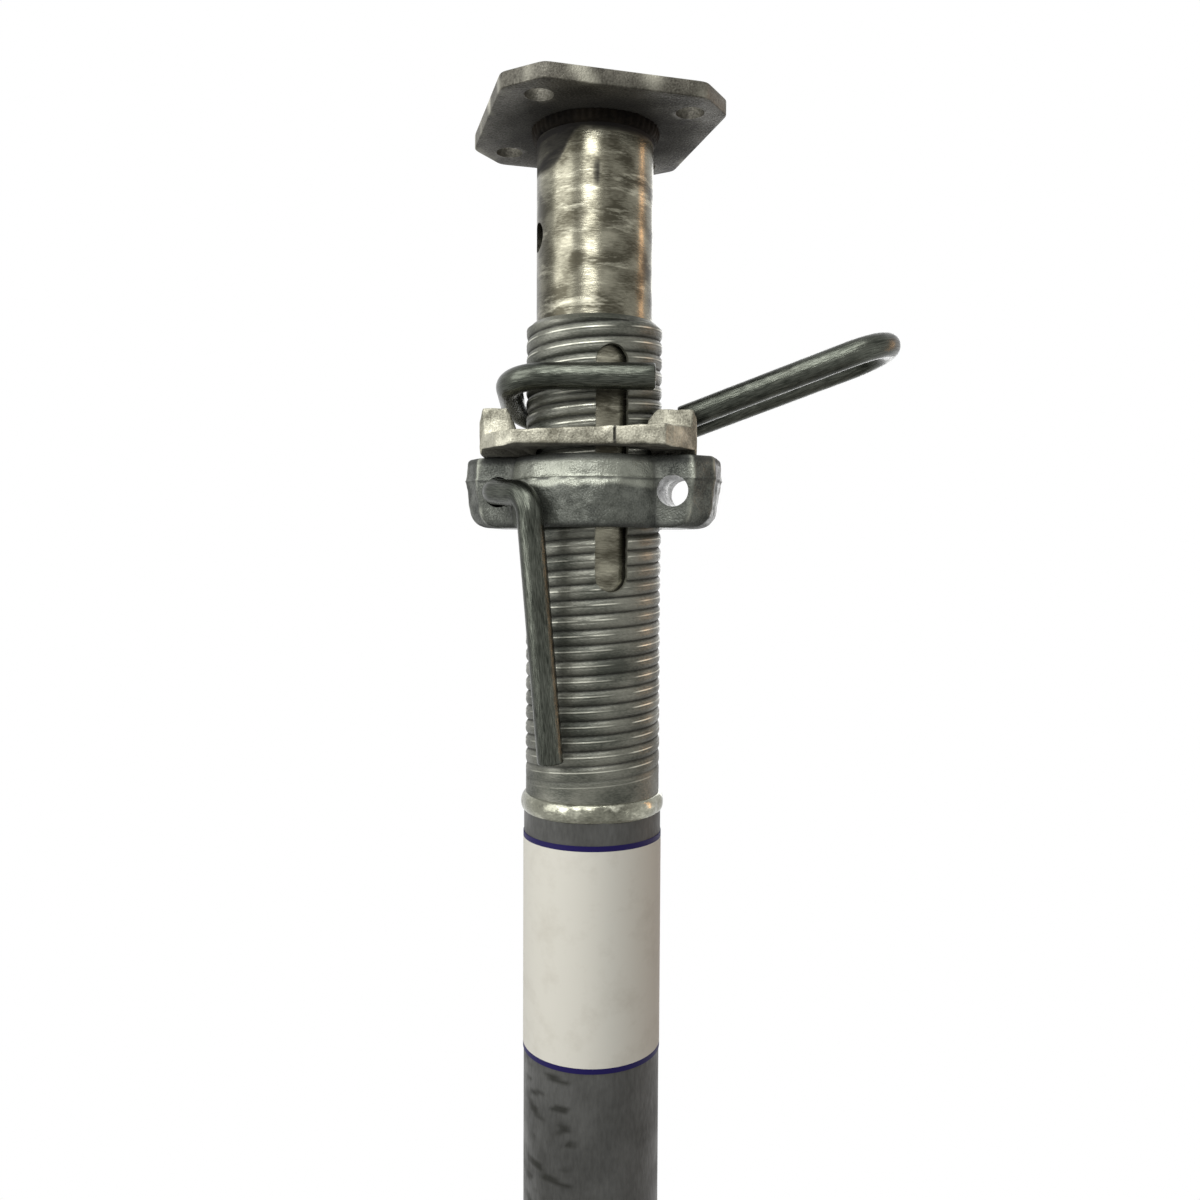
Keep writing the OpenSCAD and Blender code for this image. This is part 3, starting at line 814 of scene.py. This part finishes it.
def nut_points():
    """Rows out along the underside, up the side with rounded edges, in along the top and down the bore."""
    bearings = nut_bearings()
    bore, depth, edge = nut_bore, nut_depth, 2.2
    turn = np.linspace(0, np.pi / 2, 6)
    side_z = np.concatenate([
        edge * (1 - np.cos(turn)), np.arange(3.5, 25.2, 1.2), [25.4, 25.7, 26, 26.3, 26.6],
        np.arange(27.5, 35.5, 1.2), depth - edge * (1 - np.cos(turn[::-1]))
    ])
    z, angle = np.meshgrid(side_z, bearings, indexing="ij")
    radius = nut_radius(angle, z)
    close = np.minimum(np.minimum(z, depth - z), edge)
    radius = radius - (edge - np.sqrt(np.maximum(edge ** 2 - (edge - close) ** 2, 0)))
    place = polar(radius, angle, z)
    radius = radius + 0.22 * waves(place, 16, 21) + 0.1 * waves(place, 5, 22) - 0.25
    shoulder = smooth_step(25.8 - z, 0, 4.5 + 0.8 * waves(place, 14, 24))
    radius = radius + 1.1 * shoulder * (np.abs(np.cos(angle)) < 0.86) - 0.3
    radius = radius + 0.3 * np.exp(-((z - nut_parting - 0.2 * waves(place, 20, 23)) / 0.4) ** 2)
    side = polar(radius, angle, z) - (nut_shift, 0, 0)
    degrees = np.degrees(np.abs(np.arctan2(np.sin(angle), np.abs(np.cos(angle)))))
    body = smooth_step(degrees, 27, 33)
    # Painted highlight: a lighter band on the upper body, which faces up to the light, and on the ear corners.
    lit_band = smooth_step(z + 0.8 * waves(place, 14, 24), 20.2, 22.4) * (1 - 0.6 * smooth_step(z, 33, 38))
    corners = np.exp(-((degrees - 10.45) / 0.7) ** 2) + np.exp(-((degrees - 20.8) / 0.7) ** 2)
    painted_highlight = 0.75 * body * lit_band + 0.8 * corners * smooth_step(waves(place, 12, 25), -0.6, 0.8)
    rows = []
    for end, rim in ((0.0, side[0]), (depth, side[-1])):
        inner = bore * np.stack([np.cos(bearings), np.sin(bearings)], axis=-1)
        shares = np.array([0.0, 0.04, 0.3, 0.6, 0.85])[:, None, None]
        plan = inner + (rim[:, :2] - inner) * shares
        level = np.full((len(shares), len(bearings), 1), end)
        level[0] += 1.0 if end == 0 else -1.0
        rows.append(np.concatenate([plan, level], axis=-1))
    flat = np.zeros(rows[0].shape[:2])
    # Painted shade at the top edge under the ring, at the bottom edge, along the parting line and at the roots
    # of the ears.
    edges = smooth_step(z, 33.6, 35.6) * (1 - 0.7 * corners) + 0.7 * (1 - smooth_step(z, 1.2, 3.5))
    parting_shade = 0.9 * np.exp(-((z - 25.2) / 0.5) ** 2) * smooth_step(waves(place, 9, 26), -1.2, 0.2)
    root_shade = 0.7 * np.exp(-((degrees - 31) / 2.2) ** 2)
    dirt_and_shade = edges + parting_shade + root_shade
    marks = {"painted_highlight": np.concatenate([flat, painted_highlight, flat]), "dirt_and_shade": np.concatenate([flat, dirt_and_shade, flat])}
    return np.concatenate([rows[0], side, rows[1][::-1]]), marks


def nut_to_place(points):
    """From the nut's own frame in millimetres to its place on the prop in metres."""
    placed = turn_z(points, nut_turn) * MM
    placed[..., 2] += nut_low
    return placed


nut_grid, nut_marks = nut_points()
nut = surface("collar_nut_skin", nut_to_place(nut_grid), wrap_rows=True, wrap_columns=True, marks=nut_marks)
ear_axis = turn_z(np.array([0.0, 1.0, 0.0]), nut_turn)
ear_holes = [
    drill("ear_hole", nut_to_place(np.array([x, 0.0, ear_hole_level])), ear_axis, ear_hole_radius * MM, 90 * MM)
    for x in (-ear_hole_place, ear_hole_place)
]
smooth(cut(nut, *ear_holes), 34)
wear(nut, nut_zinc, "nut_casting", "nut", "collar_nut")
print("nut has", len(nut.data.polygons), "faces")

# %% [markdown]
# ## Lowering ring
# The ring lies on the nut. A hammer blow on one of its lugs turns it, its ramps slide from under the
# pin, and a loaded prop can be let down. Its outline is a polygon with blunt ends, given as the nearest
# of its edges at each bearing. Its top and underside are heights that depend on the place in plan.

# %% Cast ring with ramps, lugs and feet
# Millimetres in the ring's own frame, whose heights start at the foot of the nut
ring_bore, ring_foot, ring_body, lug_top = 39.5, 41, 51, 62.3
ring_front, notch_place = -48.5, 10.5
top_bevel = 1.1


def polygon_radius(bearings, corners):
    """Radius of a convex outline: for each edge the distance to it along the bearing, and the least."""
    start = np.asarray(corners, float)
    edge = np.roll(start, -1, axis=0) - start
    normal = np.stack([edge[:, 1], -edge[:, 0]], axis=-1)
    reach = (normal * start).sum(axis=1)
    facing = np.cos(bearings)[:, None] * normal[:, 0] + np.sin(bearings)[:, None] * normal[:, 1]
    return np.where(facing > 1e-6, reach / np.maximum(facing, 1e-6), np.inf).min(axis=1)


def ring_corners():
    """Corners of the ring in plan, once round: flat front and back, blunt ends, hung to the left."""
    quarter = [(39.5, ring_front), (48.5, -39.5), (58, -24)]
    right = quarter + [(x, -y) for x, y in quarter[::-1]]
    left = [(-x, y) for x, y in right[::-1]]
    return np.array(right + left) - (3, 0)


def ring_top_height(x, y):
    """Top of the ring: a ramp each way, and two lugs towards the front ends."""
    side = -np.tanh(y / 2.5)
    top = ring_body + 2 * side * np.clip(x / 46, -1, 1)
    depth = smooth_step(y, -29.0, -27.4) * (1 - smooth_step(y, -14.2, -12.4))
    left = smooth_step(-x, 39.5, 46.5) * (1 - 0.5 * smooth_step(-x, 58.5, 61))
    right = smooth_step(x, 24, 34.5) * (1 - 0.5 * smooth_step(x, 52.5, 55))
    return top + (lug_top - top) * depth * np.maximum(left, right)


def ring_foot_height(x, y):
    """Underside of the ring: lower at both ends, where its feet bear on the nut."""
    foot = smooth_step(np.abs(x), 29.5, 31) * (1 - smooth_step(np.abs(y), 24.5, 26))
    middle = smooth_step(-y, 26, 34) * (1 - smooth_step(np.abs(x + 4), 36, 44))
    return ring_foot - 2.6 * foot + 0.9 * middle


def ring_points(columns=600):
    """Rows out along the underside, up the rounded side, in over the top and down the bore."""
    notch_bearing = math.atan2(ring_front, notch_place) % (2 * math.pi)
    bearings = np.sort(np.concatenate([full_turn(columns), notch_bearing + np.linspace(-0.02, 0.02, 17)]))
    rim = polygon_radius(bearings, ring_corners()) - 0.35
    cosine, sine = np.cos(bearings), np.sin(bearings)
    turn = np.linspace(0, np.pi / 2, 4)
    rows = []

    def level(radius, height_of, lift=0.0):
        x, y = radius * cosine, radius * sine
        rows.append(np.stack([x, y, height_of(x, y) + lift], axis=-1))

    front = smooth_step(-sine * rim, 44, 47)
    bevel = 0.6 + 0.9 * front
    for share in (0.0, 0.3, 0.6, 0.85):
        level(ring_bore + (rim - bevel - ring_bore) * share, ring_foot_height)
    for t in turn:
        level(rim - bevel * (1 - np.sin(t)), ring_foot_height, bevel * (1 - np.cos(t)))
    notch = 1.8 * np.exp(-((rim * cosine - notch_place) / 0.6) ** 4) * front
    for share in (0.2, 0.4, 0.6, 0.8):
        x, y = rim * cosine, rim * sine
        low, high = ring_foot_height(x, y) + bevel, ring_top_height(x, y) - top_bevel
        radius = rim - notch
        rows.append(np.stack([radius * cosine, radius * sine, low + (high - low) * share], axis=-1))
    for t in turn[::-1]:
        level(rim - top_bevel * (1 - np.sin(t)), ring_top_height, -top_bevel * (1 - np.cos(t)))
    for share in np.linspace(0.94, 0.02, 17):
        level(ring_bore + (rim - top_bevel - ring_bore) * share, ring_top_height)
    level(np.full_like(rim, ring_bore), ring_top_height, -0.7)
    points = np.stack(rows)
    points[..., 2] += 0.16 * waves(points, 9, 31) * (points[..., 2] > 42)
    outward = 0.2 * waves(points, 12, 32) * (np.hypot(points[..., 0], points[..., 1]) > 44)
    points[..., 0] -= np.abs(outward) * cosine
    points[..., 1] -= np.abs(outward) * sine
    # Painted shade in the front notch and on the underside, where the ring shades the nut.
    near_notch = np.exp(-((points[..., 0] - notch_place) / 0.8) ** 4)
    notch_and_underside_shade = near_notch * (points[..., 1] < -44) * (points[..., 2] > 42)
    notch_and_underside_shade[:6] = 0.8
    return points, {"dirt_and_shade": notch_and_underside_shade}


def ring_to_place(points):
    """From the ring's own frame in millimetres to its place on the prop in metres."""
    placed = turn_z(points, hook_turn) * MM
    placed[..., 2] += nut_low
    return placed


ring_grid, ring_marks = ring_points()
ring = surface("lowering_ring_skin", ring_to_place(ring_grid), wrap_rows=True, wrap_columns=True,
               marks=ring_marks)
wear(smooth(ring, 45), ring_zinc, "ring_casting", "ring", "lowering_ring")
print("ring has", len(ring.data.polygons), "faces")

# %% [markdown]
# ## Bent bars
# The handle and the G-hook are round bars bent cold. A bar is a circle carried along a centre line that runs
# straight between its corners and round an arc in each. The circle's two sides are carried along without twist,
# and the straightened bar is kept as an attribute, so that the finish's streaks run along it: draw marks, and
# painted reflection streaks as well.

# %% Bars along a bent centre line
def unit(vector):
    return vector / np.linalg.norm(vector)


def centre_line(route, radii, step=4.0):
    """Points and directions along a route: straight runs joined by arcs of the given radii."""
    route = np.asarray(route, float)
    points, ways = [route[0]], [unit(route[1] - route[0])]
    for before, corner, after, radius in zip(route, route[1:], route[2:], radii):
        into, out_of = unit(corner - before), unit(after - corner)
        turn = math.acos(np.clip(into @ out_of, -1, 1))
        inward = unit(out_of - into * (out_of @ into))
        centre = corner - into * radius * math.tan(turn / 2) + inward * radius
        angle = np.linspace(0, turn, max(4, math.ceil(math.degrees(turn) / step)))[:, None]
        points.extend(centre + radius * (into * np.sin(angle) - inward * np.cos(angle)))
        ways.extend(into * np.cos(angle) + inward * np.sin(angle))
    return np.array(points + [route[-1]]), np.array(ways + [unit(route[-1] - route[-2])])


# How far a bar's cut ends are rounded off, in millimetres
end_round = 1.2


def bent_bar(name, route, radii, diameter, place, head=(), sides=40):
    """A circle swept along the centre line, rounded off at its ends; head is (distance, radius) pairs."""
    points, ways = centre_line(route, radii)
    travelled = np.concatenate([[0], np.cumsum(np.linalg.norm(np.diff(points, axis=0), axis=1))])
    total = travelled[-1]
    radius = diameter / 2
    turn = np.linspace(0, np.pi / 2, 4)
    ends = [(end_round * (1 - x), radius - end_round * (1 - y)) for x, y in zip(np.sin(turn), np.cos(turn))]
    finish = [(total - back, r) for back, r in ends]
    start = list(head) or ends[::-1]
    runs = np.arange(start[-1][0] + 6, total - 6, 6.0)
    stations = np.unique(np.concatenate([travelled[1:-1], runs]))
    stations = stations[(stations > start[-1][0] + 0.1) & (stations < finish[0][0] - 0.1)]
    distance = np.concatenate([[d for d, _ in start], stations, [d for d, _ in finish]])
    thick = np.concatenate([[r for _, r in start], np.full(len(stations), radius), [r for _, r in finish]])
    line = np.stack([np.interp(distance, travelled, points[:, k]) for k in range(3)], axis=-1)
    way = np.stack([np.interp(distance, travelled, ways[:, k]) for k in range(3)], axis=-1)
    way /= np.linalg.norm(way, axis=1, keepdims=True)
    side = unit(np.cross(way[0], (0, 0, 1) if abs(way[0][2]) < 0.9 else (1, 0, 0)))
    carried = []
    for direction in way:
        side = unit(side - direction * (side @ direction))
        carried.append(side)
    carried = np.array(carried)
    other = np.cross(way, carried)
    angle = full_turn(sides)
    out = np.cos(angle)[None, :, None] * carried[:, None] + np.sin(angle)[None, :, None] * other[:, None]
    skin = line[:, None] + thick[:, None, None] * out
    lay = polar(thick[:, None], angle, distance[:, None])
    return smooth(surface(name, place(skin), wrap_columns=True, caps="rows", lay=lay * MM), 50)


# A little thinner than the solids' 14 mm, so that the skins stay inside them
bar_diameter = 13.8

handle_route = [(-ear_hole_place, 28.5, ear_hole_level), (-ear_hole_place, -31.5, ear_hole_level),
                (-22, -51, 16.5), (-11, -46, -123)]
upset_head = [(0, 5.4), (0.5, 6.8), (1.8, 8.3), (3.4, 9.2), (3.9, 9.0), (4.0, 7.0)]
handle = bent_bar("nut_handle_skin", handle_route, [12, 12], bar_diameter, nut_to_place, head=upset_head)
wear(handle, bar_zinc, "bar_zinc", "handle", "nut_handle")

hook_route = [(31, -45, 76.5), (-45, -45, 76.5), (-45, 46.5, 62), (50, 46.5, 58.8), (163, 18.5, 99.5),
              (157.5, -28, 100.5), (48, -2, 60.5)]
hook = bent_bar("g_hook_skin", hook_route, [22, 44, 30, 22.5, 22.5], bar_diameter, ring_to_place)
wear(hook, bar_zinc, "bar_zinc", "hook", "g_hook")
print("bars:", len(handle.data.polygons), "and", len(hook.data.polygons), "faces")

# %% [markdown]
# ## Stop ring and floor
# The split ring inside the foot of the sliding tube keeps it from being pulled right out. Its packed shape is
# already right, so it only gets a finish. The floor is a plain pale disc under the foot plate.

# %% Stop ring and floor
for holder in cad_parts["stop_ring"].material_slots:
    holder.material = stop_steel


def floor_disc(radius=1.6, columns=96):
    """A flat disc just under the foot plate: rings of points from the middle out."""
    bearings = full_turn(columns)
    rings = np.array([[0.02], [radius]])
    flat = polar(rings, bearings, -0.0005)
    return surface("floor", flat, wrap_columns=True)


floor = floor_disc()
floor_paint = bpy.data.materials.new("floor_paint")
floor_paint.use_nodes = True
floor_shader = floor_paint.node_tree.nodes["Principled BSDF"]
floor_shader.inputs["Base Color"].default_value = (0.86, 0.86, 0.85, 1)
floor_shader.inputs["Roughness"].default_value = 0.8
floor.data.materials.append(floor_paint)
